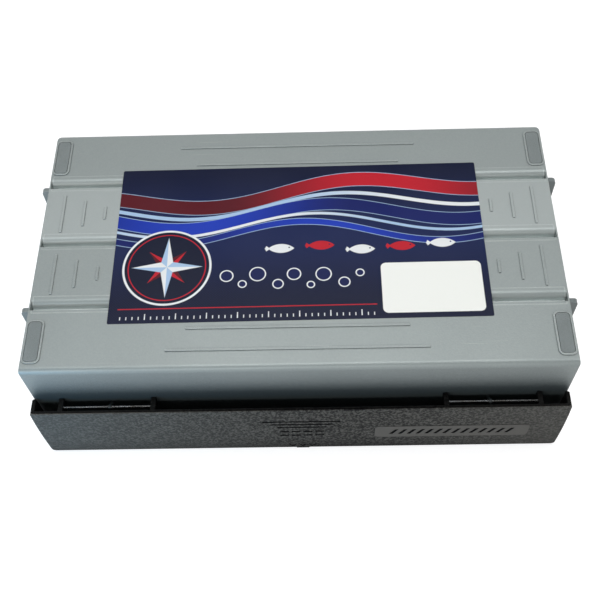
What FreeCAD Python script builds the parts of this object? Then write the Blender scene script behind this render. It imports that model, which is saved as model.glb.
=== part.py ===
import FreeCAD
import Part
import math
import os

# Tackle box lying upside down, as photographed: the lid is on the floor and the tray's bottom faces up.
# X runs along the length, Y from the latch side (negative) to the hinge side, Z up from the floor.
# All sizes are millimetres.

# Tray
tray_length = 350.0
tray_depth = 194.4
tray_height = 87.3
wall = 2.2
floor_thickness = 2.2
front_corner_radius = 0.8
back_corner_radius = 6.5
rim_corner_radius = 7.0
long_edge_radius = 4.0
side_edge_radius = 0.7
rim_out = 4.0
rim_thickness = 4.0

# Rows and grooves: each long partition stands on a ridge with a groove pressed into it from outside
row_count = 4
front_row_depth = 49.55
back_row_depth = 45.35
groove_width = 8.2
groove_depth = 6.0
groove_shoulder_radius = 4.0
groove_lip_radius = 0.4
groove_foot_radius = 0.5
groove_end_wall = 1.0
groove_skin = 2.2
partition_thickness = 2.2
partition_reach = 7.7
partition_inset = 1.6

# Slots for the cross dividers
slot_count = 9
slot_rib_width = 1.2
slot_rib_height = 1.0
slot_rib_end = 2.0
divider_thickness = 1.2
divider_play = 0.2
divider_side_gap = 0.3
divider_floor_gap = 0.3
divider_corner_cut = 3.0
divider_slots = (1, 3, 5, 7)

# Ribs on the tray's short sides, in line with the first and last partition
side_rib_thickness = 3.2
side_rib_out = 7.2
side_rib_drop = 6.3
side_rib_radius = 3.0

# Raised lines moulded on the tray's bottom
line_width = 1.6
line_height = 0.8
line_edge_radius = 0.35
short_line_side = 13.0
short_line_pitch = 14.65
short_line_lengths = (31.4, 21.5, 10.6)
short_line_shift = -1.5
long_line_lengths = (167.2, 143.0)
long_line_inset = (14.65, 30.4)
long_line_shift = -0.6

# Foot pads, each inside a raised frame
pad_frame_length = 11.9
pad_frame_depth = 31.7
pad_frame_side = 0.7
pad_frame_end = 6.1
pad_frame_radius = 4.0
pad_frame_line = 1.2
pad_frame_height = 0.8
pad_frame_edge = 0.25
pad_fit = 0.25
pad_edge = 0.5
pad_thickness = 1.8
pad_sink = 0.8

# Label
label_length = 248.0
label_depth = 125.2
label_thickness = 0.2
label_shift_x = 1.3
label_corner = 1.0
label_turn = 0.3

# Lid
lid_height = 12.0
lid_panel = 2.2
lid_wall = 2.2
lid_inset = 1.0
lid_corner_radius = 3.5
lid_rim_thickness = 4.5
lid_edge_radius = 2.0
lid_rib_height = 1.2
lid_rib_width = 3.0
lid_rib_inset = 22.0

# Seal in the lid's rim
seal_width = 3.2
seal_depth = 2.5
seal_proud = 0.2

# Latch bar
latch_lap = 0.65
latch_out = 11.9
latch_wall = 2.5
latch_rim_drop = 37.2
latch_free_gap = 1.6
latch_corner_radius = 3.0
latch_back_radius = 3.5
latch_end_bulge = 0.9
latch_end_low = 0.4
latch_cap_thickness = 2.3
latch_rib_thickness = 3.2
latch_rib_inset = (18.6, 79.4)
latch_rib_length = 17.0
pivot_drop = 1.75
pivot_out = 6.0
wall_gap = 0.3
snap_thickness = 3.2
snap_gap = 0.3
snap_end = 4.0
rim_lip = 1.2
rim_line_width = 0.7
rim_line_depth = 0.6
marks_shift = 0.9
mark_lengths = (52.0, 42.8, 32.6)
mark_drop = 17.3
mark_pitch = 4.55
mark_height = 1.6
mark_depth = 0.7
grip_count = 4
grip_pitch = 8.0
grip_length = 6.2
grip_height = 1.8
grip_drops = (33.3, 39.6)
arrow_count = 3
arrow_pitch = 6.9
arrow_length = 5.0
arrow_height = 3.6
arrow_stroke = 1.6
arrow_level = 3.0
plate_inset = 21.1
plate_length = 103.6
plate_height = 17.0
plate_drop = 26.9
plate_out = 0.3
plate_radius = 3.0
stroke_count = 14
stroke_pitch = 6.0
stroke_width = 2.6
stroke_height = 7.6
stroke_slant = 4.0
stroke_depth = 0.6
tab_length = 9.0
tab_height = 1.1

# Latch pins, held at both ends by the latch, and the tray's lugs that carry them in the middle
pin_radius = 0.75
pin_play = 0.05
pin_end_gap = 0.2
lug_shift = 2.0
lug_thickness = 1.6
lug_radius = 1.7
lug_shoulder = 5.0
lug_foot = 14.0

# Hinge at the back
hinge_out = 8.1
hinge_knuckle_radius = 3.8
hinge_pin_radius = 1.5
hinge_inset = 60.0
tray_knuckle_length = 34.0
lid_knuckle_length = 14.0
knuckle_gap = 0.4
knuckle_root = 1.0
hinge_pin_end = 0.6

# Levels and places worked out from the sizes above
rim_level = lid_height + seal_proud
top_level = rim_level + tray_height
half_length = tray_length / 2
half_depth = tray_depth / 2
inner_length = half_length - wall
inner_depth = half_depth - wall
inner_top = top_level - floor_thickness
ridge_level = top_level - groove_depth - groove_skin
partition_level = rim_level - partition_reach
slot_pitch = 2 * inner_length / (slot_count + 1)
latch_rim_level = top_level - latch_rim_drop
pivot_level = latch_rim_level - pivot_drop
pivot_y = -half_depth - pivot_out
latch_face = -half_depth - latch_out
latch_inside = latch_face + latch_wall
latch_half = half_length + latch_lap
head_radius = pivot_out - wall_gap
pin_end = half_length - latch_rib_inset[0] + latch_rib_thickness / 2 - pin_end_gap
pin_start = half_length - latch_rib_inset[1] - latch_rib_thickness / 2 + pin_end_gap
plate_start = half_length - plate_inset - plate_length
hinge_station_x = half_length - hinge_inset
hinge_y = half_depth + hinge_out
hinge_level = (rim_level + lid_height) / 2
OVER = 1.0


def box(x0, x1, y0, y1, z0, z1):
    return Part.makeBox(x1 - x0, y1 - y0, z1 - z0, FreeCAD.Vector(x0, y0, z0))


def edges_along(shape, axis):
    # Straight edges of a block that run along one axis
    chosen = []
    for edge in shape.Edges:
        step = edge.Vertexes[-1].Point - edge.Vertexes[0].Point
        if abs(step.normalize().dot(axis)) > 0.999:
            chosen.append(edge)
    return chosen


def rounded_block(half_x, half_y, z0, z1, radius, mid_x=0.0, mid_y=0.0):
    block = box(mid_x - half_x, mid_x + half_x, mid_y - half_y, mid_y + half_y, z0, z1)
    return block.makeFillet(radius, edges_along(block, FreeCAD.Vector(0, 0, 1)))


def soft_top_block(half_x, half_y, z0, z1, radius, along):
    # A block whose top edges along one axis are rounded
    block = box(-half_x, half_x, -half_y, half_y, z0, z1)
    edges = [e for e in edges_along(block, along) if e.CenterOfMass.z > (z0 + z1) / 2]
    return block.makeFillet(radius, edges)


def side_profile(points, x0, x1):
    # A polygon of (y, z) points drawn across the box and extruded along X
    corners = [FreeCAD.Vector(x0, y, z) for y, z in points]
    face = Part.Face(Part.makePolygon(corners + corners[:1]))
    return face.extrude(FreeCAD.Vector(x1 - x0, 0, 0))


def rod(radius, x0, x1, y, z):
    return Part.makeCylinder(radius, x1 - x0, FreeCAD.Vector(x0, y, z), FreeCAD.Vector(1, 0, 0))


def mirrored(x0, x1):
    # The same stretch of X on the right and on the left
    return ((x0, x1), (-x1, -x0))


def partition_places():
    # The first and last rows have their own depths, and the rows between share the rest evenly
    front = -half_depth + front_row_depth
    pitch = (tray_depth - front_row_depth - back_row_depth) / (row_count - 2)
    return [front + pitch * i for i in range(row_count - 1)]


def slot_places():
    return [slot_pitch * (i - (slot_count - 1) / 2) for i in range(slot_count)]


def row_walls():
    # For each row: the two faces that bound it, and whether each is an outer wall of the tray
    faces = [(-inner_depth, True)]
    for y in partition_places():
        faces.append((y - partition_thickness / 2, False))
        faces.append((y + partition_thickness / 2, False))
    faces.append((inner_depth, True))
    return [(faces[2 * i], faces[2 * i + 1]) for i in range(row_count)]


def tray_outside():
    along_x = FreeCAD.Vector(1, 0, 0)
    along_y = FreeCAD.Vector(0, 1, 0)
    body = soft_top_block(half_length, half_depth, rim_level, top_level, long_edge_radius, along_x)
    sides = soft_top_block(half_length, half_depth, rim_level, top_level, side_edge_radius, along_y)
    return body.common(sides).common(tray_plan())


def tray_plan():
    # The tray's outline seen from above: the front corners are sharper than the back ones
    plan = box(-half_length, half_length, -half_depth, half_depth, rim_level, top_level)
    for radius, side in ((front_corner_radius, -1), (back_corner_radius, 1)):
        corners = [e for e in edges_along(plan, FreeCAD.Vector(0, 0, 1))
                   if side * e.CenterOfMass.y > half_depth / 2]
        plan = plan.makeFillet(radius, corners)
    return plan


def tray_cavity():
    inner_radius = max(long_edge_radius - wall, 0.3)
    return soft_top_block(inner_length, inner_depth, rim_level - OVER, inner_top, inner_radius,
                          FreeCAD.Vector(1, 0, 0))


def tray_rim():
    ring = rounded_block(half_length + rim_out, half_depth + rim_out, rim_level, rim_level + rim_thickness,
                         rim_corner_radius)
    hole = box(-inner_length, inner_length, -inner_depth, inner_depth,
               rim_level - OVER, rim_level + rim_thickness + OVER)
    return ring.cut(hole)


def ridge_blocks(low, high):
    # The strips of the tray's floor that the ridges over the partitions take up
    half = groove_width / 2 + groove_skin
    return [box(-inner_length, inner_length, y - half, y + half, low, high) for y in partition_places()]


def make_partition(index):
    # A long partition: a channel flush with the tray's bottom, with a thin wall standing on it
    y = partition_places()[index]
    half = partition_thickness / 2
    short = inner_length - partition_inset
    channel = ridge_blocks(ridge_level, top_level)[index]
    web = box(-inner_length, inner_length, y - half, y + half, rim_level, ridge_level + groove_skin / 2)
    tip = box(-short, short, y - half, y + half, partition_level, rim_level + OVER)
    partition = channel.fuse([web, tip]).cut(groove(y)).removeSplitter()
    return partition.fuse(slot_ribs(y + half, 1, ridge_level) + slot_ribs(y - half, -1, ridge_level))


def slot_ribs(face, way, high):
    # Pairs of ribs on one wall, facing the row, with the dividers' slots between them
    pieces = []
    gap = divider_thickness / 2 + divider_play
    low = rim_level + slot_rib_end
    y0, y1 = sorted((face - way * wall / 4, face + way * slot_rib_height))
    for x in slot_places():
        pieces.append(box(x + gap, x + gap + slot_rib_width, y0, y1, low, high))
        pieces.append(box(x - gap - slot_rib_width, x - gap, y0, y1, low, high))
    return pieces


def side_ribs():
    pieces = []
    places = partition_places()
    top = top_level - side_rib_drop
    for y in (places[0], places[-1]):
        half = side_rib_thickness / 2
        for side in (1, -1):
            x0, x1 = sorted((side * (half_length - wall / 2), side * (half_length + side_rib_out)))
            rib = box(x0, x1, y - half, y + half, rim_level, top)
            corner = [e for e in edges_along(rib, FreeCAD.Vector(0, 1, 0))
                      if e.CenterOfMass.z > top - OVER and side * e.CenterOfMass.x > half_length]
            pieces.append(rib.makeFillet(side_rib_radius, corner))
    return pieces


def raised_line(half_x, half_y, mid_x, mid_y):
    # A low bar whose upper edges are rounded
    high = top_level + line_height
    bar = box(mid_x - half_x, mid_x + half_x, mid_y - half_y, mid_y + half_y,
              top_level - floor_thickness / 2, high)
    return bar.makeFillet(line_edge_radius, [e for e in bar.Edges if e.BoundBox.ZMin > high - 0.01])


def raised_lines():
    pieces = []
    half = line_width / 2
    places = partition_places()
    for front, back in zip(places[:-1], places[1:]):
        middle = (front + back) / 2 + short_line_shift
        for i, length in enumerate(short_line_lengths):
            x = half_length - short_line_side - i * short_line_pitch
            for side in (1, -1):
                pieces.append(raised_line(half, length / 2, side * x, middle))
    for length, inset in zip(long_line_lengths, long_line_inset):
        for side in (1, -1):
            pieces.append(raised_line(length / 2, half, 0.0, side * (half_depth - inset) + long_line_shift))
    return pieces


def pad_middles():
    x = half_length - pad_frame_side - pad_frame_length / 2
    y = half_depth - pad_frame_end - pad_frame_depth / 2
    return {"front_left": (-x, -y), "front_right": (x, -y), "back_left": (-x, y), "back_right": (x, y)}


def pad_block(middle, shrink, z0, z1):
    radius = max(pad_frame_radius - shrink, 0.5)
    return rounded_block(pad_frame_length / 2 - shrink, pad_frame_depth / 2 - shrink, z0, z1, radius,
                         middle[0], middle[1])


def top_edges_rounded(block, radius):
    return block.makeFillet(radius, [e for e in block.Edges if e.BoundBox.ZMin > block.BoundBox.ZMax - 0.01])


def pad_frames():
    low = top_level - floor_thickness / 2
    high = top_level + pad_frame_height
    return [top_edges_rounded(pad_block(middle, 0.0, low, high), pad_frame_edge)
            for middle in pad_middles().values()]


def pad_recesses():
    return [pad_block(middle, pad_frame_line, top_level - pad_sink, top_level + pad_frame_height + OVER)
            for middle in pad_middles().values()]


def quarter_arc(x, y, z, radius, start):
    # A quarter circle about (y, z) in the plane at x, from the start angle in degrees
    points = []
    for angle in (start, start + 45, start + 90):
        turn = math.radians(angle)
        points.append(FreeCAD.Vector(x, y + radius * math.cos(turn), z + radius * math.sin(turn)))
    return Part.Arc(*points).toShape()


def groove(y):
    # The cut between two rows: a wide round shoulder at the back, a flat foot, an almost sharp lip in front
    end = half_length - groove_end_wall
    bottom = top_level - groove_depth
    back = y + groove_width / 2
    front = y - groove_width / 2
    shoulder = groove_shoulder_radius
    foot = groove_foot_radius
    lip = groove_lip_radius
    wall_y = back - shoulder
    shoulder_arc = quarter_arc(-end, back, top_level - shoulder, shoulder, 90)
    foot_arc = quarter_arc(-end, wall_y - foot, bottom + foot, foot, -90)
    lip_arc = quarter_arc(-end, front - lip, top_level - lip, lip, 0)
    corners = [FreeCAD.Vector(-end, across, level) for across, level in (
        (wall_y, top_level - shoulder), (wall_y, bottom + foot), (wall_y - foot, bottom), (front, bottom),
        (front, top_level - lip), (front - lip, top_level), (front - lip, top_level + OVER),
        (back, top_level + OVER), (back, top_level))]
    wall_line, floor_line, front_line = [Part.makeLine(corners[i], corners[i + 1]) for i in (0, 2, 3)]
    above = Part.makePolygon(corners[5:]).Edges
    outline = Part.Wire([shoulder_arc, wall_line, foot_arc, floor_line, front_line, lip_arc] + above)
    return Part.Face(outline).extrude(FreeCAD.Vector(2 * end, 0, 0))


def latch_lugs():
    # One arm on the tray's front wall for each latch pin: it rises under the pin and ends in an eye
    pieces = []
    root = -half_depth + wall / 2
    across = lug_radius * math.sin(math.radians(50))
    down = lug_radius * math.cos(math.radians(50))
    points = [(root, pivot_level - lug_shoulder), (pivot_y + across, pivot_level - down),
              (pivot_y - across, pivot_level - down), (root, pivot_level - lug_foot)]
    middle = (pin_start + pin_end) / 2 - lug_shift
    for x0, x1 in mirrored(middle - lug_thickness / 2, middle + lug_thickness / 2):
        eye = rod(lug_radius, x0, x1, pivot_y, pivot_level)
        hole = rod(pin_radius + pin_play, x0 - OVER, x1 + OVER, pivot_y, pivot_level)
        pieces.append(side_profile(points, x0, x1).fuse(eye).cut(hole))
    return pieces


def hinge_knuckle(x0, x1, web_low, web_high, bore):
    # A knuckle round the hinge pin with a flat web that joins it to the rim
    eye = rod(hinge_knuckle_radius, x0, x1, hinge_y, hinge_level)
    web = box(x0, x1, half_depth + rim_out - knuckle_root, hinge_y, web_low, web_high)
    return eye.fuse(web).cut(rod(bore, x0 - OVER, x1 + OVER, hinge_y, hinge_level))


def tray_knuckles():
    half = tray_knuckle_length / 2
    top = hinge_level + hinge_knuckle_radius
    return [hinge_knuckle(x - half, x + half, rim_level, top, hinge_pin_radius + pin_play)
            for x in (-hinge_station_x, hinge_station_x)]


def lid_knuckle_spans():
    near = tray_knuckle_length / 2 + knuckle_gap
    far = near + lid_knuckle_length
    spans = []
    for x in (-hinge_station_x, hinge_station_x):
        spans.append((x + near, x + far))
        spans.append((x - far, x - near))
    return spans


def lid_knuckles():
    low = hinge_level - hinge_knuckle_radius
    return [hinge_knuckle(x0, x1, low, lid_height, hinge_pin_radius) for x0, x1 in lid_knuckle_spans()]


def make_tray():
    high = inner_top - long_edge_radius
    shell = tray_outside().fuse(tray_rim()).cut(tray_cavity())
    shell = shell.fuse(side_ribs() + pad_frames())
    shell = shell.cut(ridge_blocks(inner_top - OVER, top_level + OVER) + pad_recesses())
    shell = shell.cut([groove(y) for y in partition_places()])
    ribs = slot_ribs(-inner_depth, 1, high) + slot_ribs(inner_depth, -1, high)
    return shell.fuse(raised_lines() + ribs + latch_lugs() + tray_knuckles()).removeSplitter()


def make_divider(row, x):
    # A cross divider: cut away at the ridges by the tray's floor, stepped in where it reaches into the lid
    (front, front_outer), (back, back_outer) = row_walls()[row]
    ridge = groove_width / 2 + groove_skin - partition_thickness / 2 + divider_side_gap
    high = inner_top - divider_floor_gap
    step = ridge_level - divider_floor_gap
    points = []
    for face, is_outer, way in ((front, front_outer, 1), (back, back_outer, -1)):
        side = face + way * divider_side_gap
        if is_outer:
            inset = face + way * partition_inset
            edge = [(inset, partition_level), (inset, rim_level), (side, rim_level),
                    (side, high - divider_corner_cut), (side + way * divider_corner_cut, high)]
        else:
            edge = [(side, partition_level), (side, step), (face + way * ridge, step),
                    (face + way * ridge, high)]
        points += edge if way == 1 else edge[::-1]
    return side_profile(points, x - divider_thickness / 2, x + divider_thickness / 2)


def make_foot_pad(middle):
    low = top_level - pad_sink
    return top_edges_rounded(pad_block(middle, pad_frame_line + pad_fit, low, low + pad_thickness), pad_edge)


def make_label():
    label = rounded_block(label_length / 2, label_depth / 2, top_level, top_level + label_thickness,
                          label_corner, label_shift_x)
    middle = FreeCAD.Vector(label_shift_x, 0, top_level)
    return label.rotate(middle, FreeCAD.Vector(0, 0, 1), label_turn)


def seal_ring(width, z0, z1):
    # A closed ring that runs round the middle of the rim
    middle = (rim_out - lid_wall) / 2
    outer = middle + width / 2
    inner = middle - width / 2
    outside = rounded_block(half_length + outer, half_depth + outer, z0, z1,
                            rim_corner_radius - rim_out + outer)
    inside = rounded_block(half_length + inner, half_depth + inner, z0 - OVER, z1 + OVER,
                           max(rim_corner_radius - rim_out + inner, 0.5))
    return outside.cut(inside)


def make_lid():
    low = rounded_block(half_length - lid_inset, half_depth - lid_inset, 0.0, lid_height, lid_corner_radius)
    bottom = [e for e in low.Edges if e.CenterOfMass.z < 0.01]
    low = low.makeFillet(lid_edge_radius, bottom)
    rim = rounded_block(half_length + rim_out, half_depth + rim_out, lid_height - lid_rim_thickness,
                        lid_height, rim_corner_radius)
    hollow = rounded_block(half_length - lid_wall, half_depth - lid_wall, lid_panel,
                           lid_height + OVER, lid_corner_radius - lid_wall / 2)
    groove = seal_ring(seal_width, lid_height - seal_depth, lid_height + OVER)
    lid = low.fuse(rim).cut([hollow, groove])
    return lid.fuse(lid_knuckles() + lid_stiffeners()).removeSplitter()


def lid_stiffeners():
    # Low ribs inside the panel that keep it flat
    half_x = half_length - lid_rib_inset
    half_y = half_depth - lid_rib_inset
    low = lid_panel - lid_panel / 2
    outer = rounded_block(half_x, half_y, low, lid_panel + lid_rib_height, lid_corner_radius)
    inner = rounded_block(half_x - lid_rib_width, half_y - lid_rib_width, low - OVER,
                          lid_panel + lid_rib_height + OVER, lid_corner_radius - lid_rib_width / 2)
    return [outer.cut(inner)]


def make_seal():
    return seal_ring(seal_width, lid_height - seal_depth, rim_level)


def latch_profile(back_points, x0, x1):
    # A wall across the latch, flat at the rim and rounded about the pivot where it nears the tray
    reach = math.sqrt(head_radius ** 2 - pivot_drop ** 2)
    half = math.asin(pivot_drop / head_radius) / 2
    start = FreeCAD.Vector(x0, pivot_y + reach, latch_rim_level)
    middle = FreeCAD.Vector(x0, pivot_y + head_radius * math.cos(half),
                            pivot_level + head_radius * math.sin(half))
    end = FreeCAD.Vector(x0, pivot_y + head_radius, pivot_level)
    top = FreeCAD.Vector(x0, latch_inside - latch_wall / 2, latch_rim_level)
    corners = [end] + [FreeCAD.Vector(x0, y, z) for y, z in back_points] + [top, start]
    wire = Part.Wire(Part.makePolygon(corners).Edges + [Part.Arc(start, middle, end).toShape()])
    wall_shape = Part.Face(wire).extrude(FreeCAD.Vector(x1 - x0, 0, 0))
    return wall_shape


def latch_outline(y0, y1):
    # The latch seen from the front: its ends bulge a little and its free corners are rounded
    low = latch_half + latch_end_low
    middle = latch_half + latch_end_bulge
    middle_level = (latch_rim_level + latch_free_gap) / 2
    rim = [FreeCAD.Vector(side * latch_half, y0, latch_rim_level) for side in (-1, 1)]
    free = [FreeCAD.Vector(side * low, y0, latch_free_gap) for side in (-1, 1)]
    bulge = [FreeCAD.Vector(side * middle, y0, middle_level) for side in (-1, 1)]
    edges = [Part.makeLine(rim[0], rim[1]), Part.Arc(rim[1], bulge[1], free[1]).toShape(),
             Part.makeLine(free[1], free[0]), Part.Arc(free[0], bulge[0], rim[0]).toShape()]
    block = Part.Face(Part.Wire(edges)).extrude(FreeCAD.Vector(0, y1 - y0, 0))
    corners = [e for e in edges_along(block, FreeCAD.Vector(0, 1, 0))
               if e.CenterOfMass.z < latch_free_gap + OVER]
    return block.makeFillet(latch_corner_radius, corners)


def latch_plan():
    # The latch seen from above: the ends are rounded where they meet the tray
    end = latch_half + latch_end_bulge
    block = box(-end, end, latch_face - OVER, -half_depth - wall_gap, 0, latch_rim_level + OVER)
    corners = [e for e in edges_along(block, FreeCAD.Vector(0, 0, 1))
               if e.CenterOfMass.y > latch_inside]
    return block.makeFillet(latch_back_radius, corners)


def latch_tab():
    # A small lip on the free edge for a fingernail
    return box(marks_shift - tab_length / 2, marks_shift + tab_length / 2, latch_face, latch_inside,
               latch_free_gap - tab_height, latch_free_gap + OVER)


def rim_line():
    # A thin line cut along the top of the latch's rim
    end = latch_half - latch_cap_thickness / 2
    back = latch_inside - rim_lip
    low = latch_rim_level - rim_line_depth
    return box(-end, end, back - rim_line_width, back, low, latch_rim_level + OVER)


def latch_marks():
    # Cut lines on the latch's face, widest nearest the rim
    pieces = []
    for i, length in enumerate(mark_lengths):
        middle = latch_rim_level - mark_drop - i * mark_pitch
        pieces.append(box(marks_shift - length / 2, marks_shift + length / 2, latch_face - OVER,
                          latch_face + mark_depth, middle - mark_height / 2, middle + mark_height / 2))
    return pieces


def latch_grips():
    # Short cut bars below the lines, in pairs
    pieces = []
    for drop in grip_drops:
        middle = latch_rim_level - drop
        for i in range(grip_count):
            x = marks_shift + (i - (grip_count - 1) / 2) * grip_pitch
            pieces.append(box(x - grip_length / 2, x + grip_length / 2, latch_face - OVER,
                              latch_face + mark_depth, middle - grip_height / 2, middle + grip_height / 2))
    return pieces


def latch_arrows():
    # Cut arrowheads above the tab that point to the edge that is pulled
    pieces = []
    y = latch_face - OVER
    half = arrow_length / 2
    high = arrow_level + arrow_height
    outline = [(-half, high), (0.0, arrow_level), (half, high), (half, high + arrow_stroke),
               (0.0, arrow_level + arrow_stroke), (-half, high + arrow_stroke)]
    for i in range(arrow_count):
        middle = marks_shift + (i - (arrow_count - 1) / 2) * arrow_pitch
        corners = [FreeCAD.Vector(middle + x, y, z) for x, z in outline]
        face = Part.Face(Part.makePolygon(corners + corners[:1]))
        pieces.append(face.extrude(FreeCAD.Vector(0, OVER + mark_depth, 0)))
    return pieces


def latch_plate():
    # A smooth raised plate on the right part of the latch's face
    high = latch_rim_level - plate_drop
    block = box(plate_start, plate_start + plate_length, latch_face - plate_out, latch_face + latch_wall / 2,
                high - plate_height, high)
    return block.makeFillet(plate_radius, edges_along(block, FreeCAD.Vector(0, 1, 0)))


def plate_strokes():
    # A row of slanted strokes cut in the plate
    pieces = []
    y = latch_face - plate_out
    middle = latch_rim_level - plate_drop - plate_height / 2
    for i in range(stroke_count):
        x = plate_start + plate_length / 2 + (i - (stroke_count - 1) / 2) * stroke_pitch
        low = x - (stroke_width + stroke_slant) / 2
        high = low + stroke_slant
        outline = [(low, middle - stroke_height / 2), (low + stroke_width, middle - stroke_height / 2),
                   (high + stroke_width, middle + stroke_height / 2), (high, middle + stroke_height / 2)]
        corners = [FreeCAD.Vector(across, y - OVER, level) for across, level in outline]
        face = Part.Face(Part.makePolygon(corners + corners[:1]))
        pieces.append(face.extrude(FreeCAD.Vector(0, OVER + stroke_depth, 0)))
    return pieces


def make_latch():
    rim_edge = -half_depth - rim_out - snap_gap
    root = latch_inside - latch_wall / 2
    high = lid_height - lid_rim_thickness - snap_gap
    cap_back = [(pivot_y + head_radius, rim_level + rim_thickness + 4 * rim_out),
                (rim_edge, rim_level + rim_thickness + rim_out), (rim_edge, latch_free_gap + OVER),
                (root, latch_free_gap + OVER)]
    rib_back = [(pivot_y + head_radius, pivot_level - head_radius), (root, pivot_level - latch_rib_length)]
    pieces = []
    for x0, x1 in mirrored(latch_half - latch_cap_thickness, latch_half + latch_end_bulge + OVER):
        pieces.append(latch_profile(cap_back, x0, x1))
    for inset in latch_rib_inset:
        x = half_length - inset
        for x0, x1 in mirrored(x - latch_rib_thickness / 2, x + latch_rib_thickness / 2):
            pieces.append(latch_profile(rib_back, x0, x1))
    snap = box(-latch_half + snap_end, latch_half - snap_end, root, rim_edge, high - snap_thickness, high)
    pieces.append(snap)
    latch = latch_outline(latch_face, latch_inside).fuse(pieces)
    latch = latch.common(latch_outline(latch_face, -half_depth)).common(latch_plan())
    cuts = latch_marks() + latch_grips() + latch_arrows() + plate_strokes() + [rim_line()]
    latch = latch.fuse([latch_tab(), latch_plate()]).cut(cuts)
    bores = [rod(pin_radius, x0 - OVER, x1 + OVER, pivot_y, pivot_level)
             for x0, x1 in mirrored(pin_start, pin_end)]
    return latch.cut(bores).removeSplitter()


def make_latch_pin(side):
    x0, x1 = mirrored(pin_start, pin_end)[0 if side > 0 else 1]
    return rod(pin_radius, x0, x1, pivot_y, pivot_level)


def make_hinge_pin(x):
    half = tray_knuckle_length / 2 + knuckle_gap + lid_knuckle_length + hinge_pin_end
    return rod(hinge_pin_radius, x - half, x + half, hinge_y, hinge_level)


def all_pieces():
    pieces = {"tray_shell": make_tray(), "lid": make_lid(), "lid_seal": make_seal(),
              "latch_bar": make_latch(), "label": make_label()}
    for index in range(row_count - 1):
        pieces["partition_%d" % (index + 1)] = make_partition(index)
    for name, side in (("left", -1), ("right", 1)):
        pieces["latch_pin_" + name] = make_latch_pin(side)
        pieces["hinge_pin_" + name] = make_hinge_pin(side * hinge_station_x)
    for name, middle in pad_middles().items():
        pieces["foot_pad_" + name] = make_foot_pad(middle)
    slots = slot_places()
    for row in range(row_count):
        for number, slot in enumerate(divider_slots):
            name = "divider_row%d_%d" % (row + 1, number + 1)
            pieces[name] = make_divider(row, slots[slot])
    return pieces


os.makedirs("parts", exist_ok=True)
for node, shape in all_pieces().items():
    if shape.ShapeType == "Compound" and len(shape.Solids) == 1:
        shape = shape.Solids[0]
    shape.exportStep(os.path.join("parts", node + ".step"))
    print(node, shape.isValid(), len(shape.Solids), round(shape.Volume, 1))
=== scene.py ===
import bpy
import math
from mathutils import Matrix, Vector

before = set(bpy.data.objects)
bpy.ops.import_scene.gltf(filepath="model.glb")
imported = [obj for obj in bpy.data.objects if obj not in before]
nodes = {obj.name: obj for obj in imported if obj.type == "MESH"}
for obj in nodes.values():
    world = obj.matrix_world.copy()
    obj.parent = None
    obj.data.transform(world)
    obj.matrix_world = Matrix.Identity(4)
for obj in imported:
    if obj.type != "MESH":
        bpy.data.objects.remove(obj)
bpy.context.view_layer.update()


print("Frame loaded:", len(nodes), "parts")


# Small helpers for materials. A socket is fed with another socket, a number or a colour.

def feed(tree, socket, value):
    if isinstance(value, bpy.types.NodeSocket):
        tree.links.new(value, socket)
    else:
        socket.default_value = value


def rgb(red, green, blue):
    # A screen colour from 0 to 255, as the linear colour that the shaders use
    linear = []
    for level in (red, green, blue):
        share = level / 255
        linear.append(share / 12.92 if share <= 0.04045 else ((share + 0.055) / 1.055) ** 2.4)
    return (*linear, 1.0)


def calc(tree, operation, *values, clamp=False):
    node = tree.nodes.new("ShaderNodeMath")
    node.operation = operation
    node.use_clamp = clamp
    for socket, value in zip(node.inputs, values):
        feed(tree, socket, value)
    return node.outputs[0]


def blendColor(tree, share, first, second):
    node = tree.nodes.new("ShaderNodeMix")
    node.data_type = "RGBA"
    feed(tree, node.inputs[0], share)
    feed(tree, node.inputs[6], first)
    feed(tree, node.inputs[7], second)
    return node.outputs[2]


def tint(tree, mask, amount, color, tone):
    # Brings a tone in where the mask is 1, up to the given amount
    return blendColor(tree, calc(tree, "MULTIPLY", mask, amount), color, tone)


def remap(tree, value, low, high, newLow=0.0, newHigh=1.0, smooth=False):
    node = tree.nodes.new("ShaderNodeMapRange")
    node.interpolation_type = "SMOOTHSTEP" if smooth else "LINEAR"
    for socket, entry in zip(node.inputs, (value, low, high, newLow, newHigh)):
        feed(tree, socket, entry)
    return node.outputs[0]


def noise(tree, vector, scale, detail=2.0, roughness=0.5):
    node = tree.nodes.new("ShaderNodeTexNoise")
    feed(tree, node.inputs["Vector"], vector)
    feed(tree, node.inputs["Scale"], scale)
    node.inputs["Detail"].default_value = detail
    node.inputs["Roughness"].default_value = roughness
    return node.outputs[0]


def objectPlace(tree):
    return tree.nodes.new("ShaderNodeTexCoord").outputs["Object"]


def splitPlace(tree, vector):
    node = tree.nodes.new("ShaderNodeSeparateXYZ")
    tree.links.new(vector, node.inputs[0])
    return tuple(node.outputs)


def stretched(tree, vector, scale, turn=(0.0, 0.0, 0.0), shift=(0.0, 0.0, 0.0)):
    node = tree.nodes.new("ShaderNodeMapping")
    feed(tree, node.inputs["Vector"], vector)
    node.inputs["Location"].default_value = shift
    node.inputs["Rotation"].default_value = turn
    node.inputs["Scale"].default_value = scale
    return node.outputs[0]


def offCentre(tree, value, middle):
    return calc(tree, "ABSOLUTE", calc(tree, "SUBTRACT", value, middle))


def newGroup(name, inputs, outputs):
    group = bpy.data.node_groups.new(name, "ShaderNodeTree")
    for label, kind, value in inputs:
        socket = group.interface.new_socket(label, in_out="INPUT", socket_type="NodeSocket" + kind)
        if value is not None:
            socket.default_value = value
    for label in outputs:
        group.interface.new_socket(label, in_out="OUTPUT", socket_type="NodeSocketFloat")
    given, result = group.nodes.new("NodeGroupInput"), group.nodes.new("NodeGroupOutput")
    return group, given.outputs, result.inputs


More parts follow.
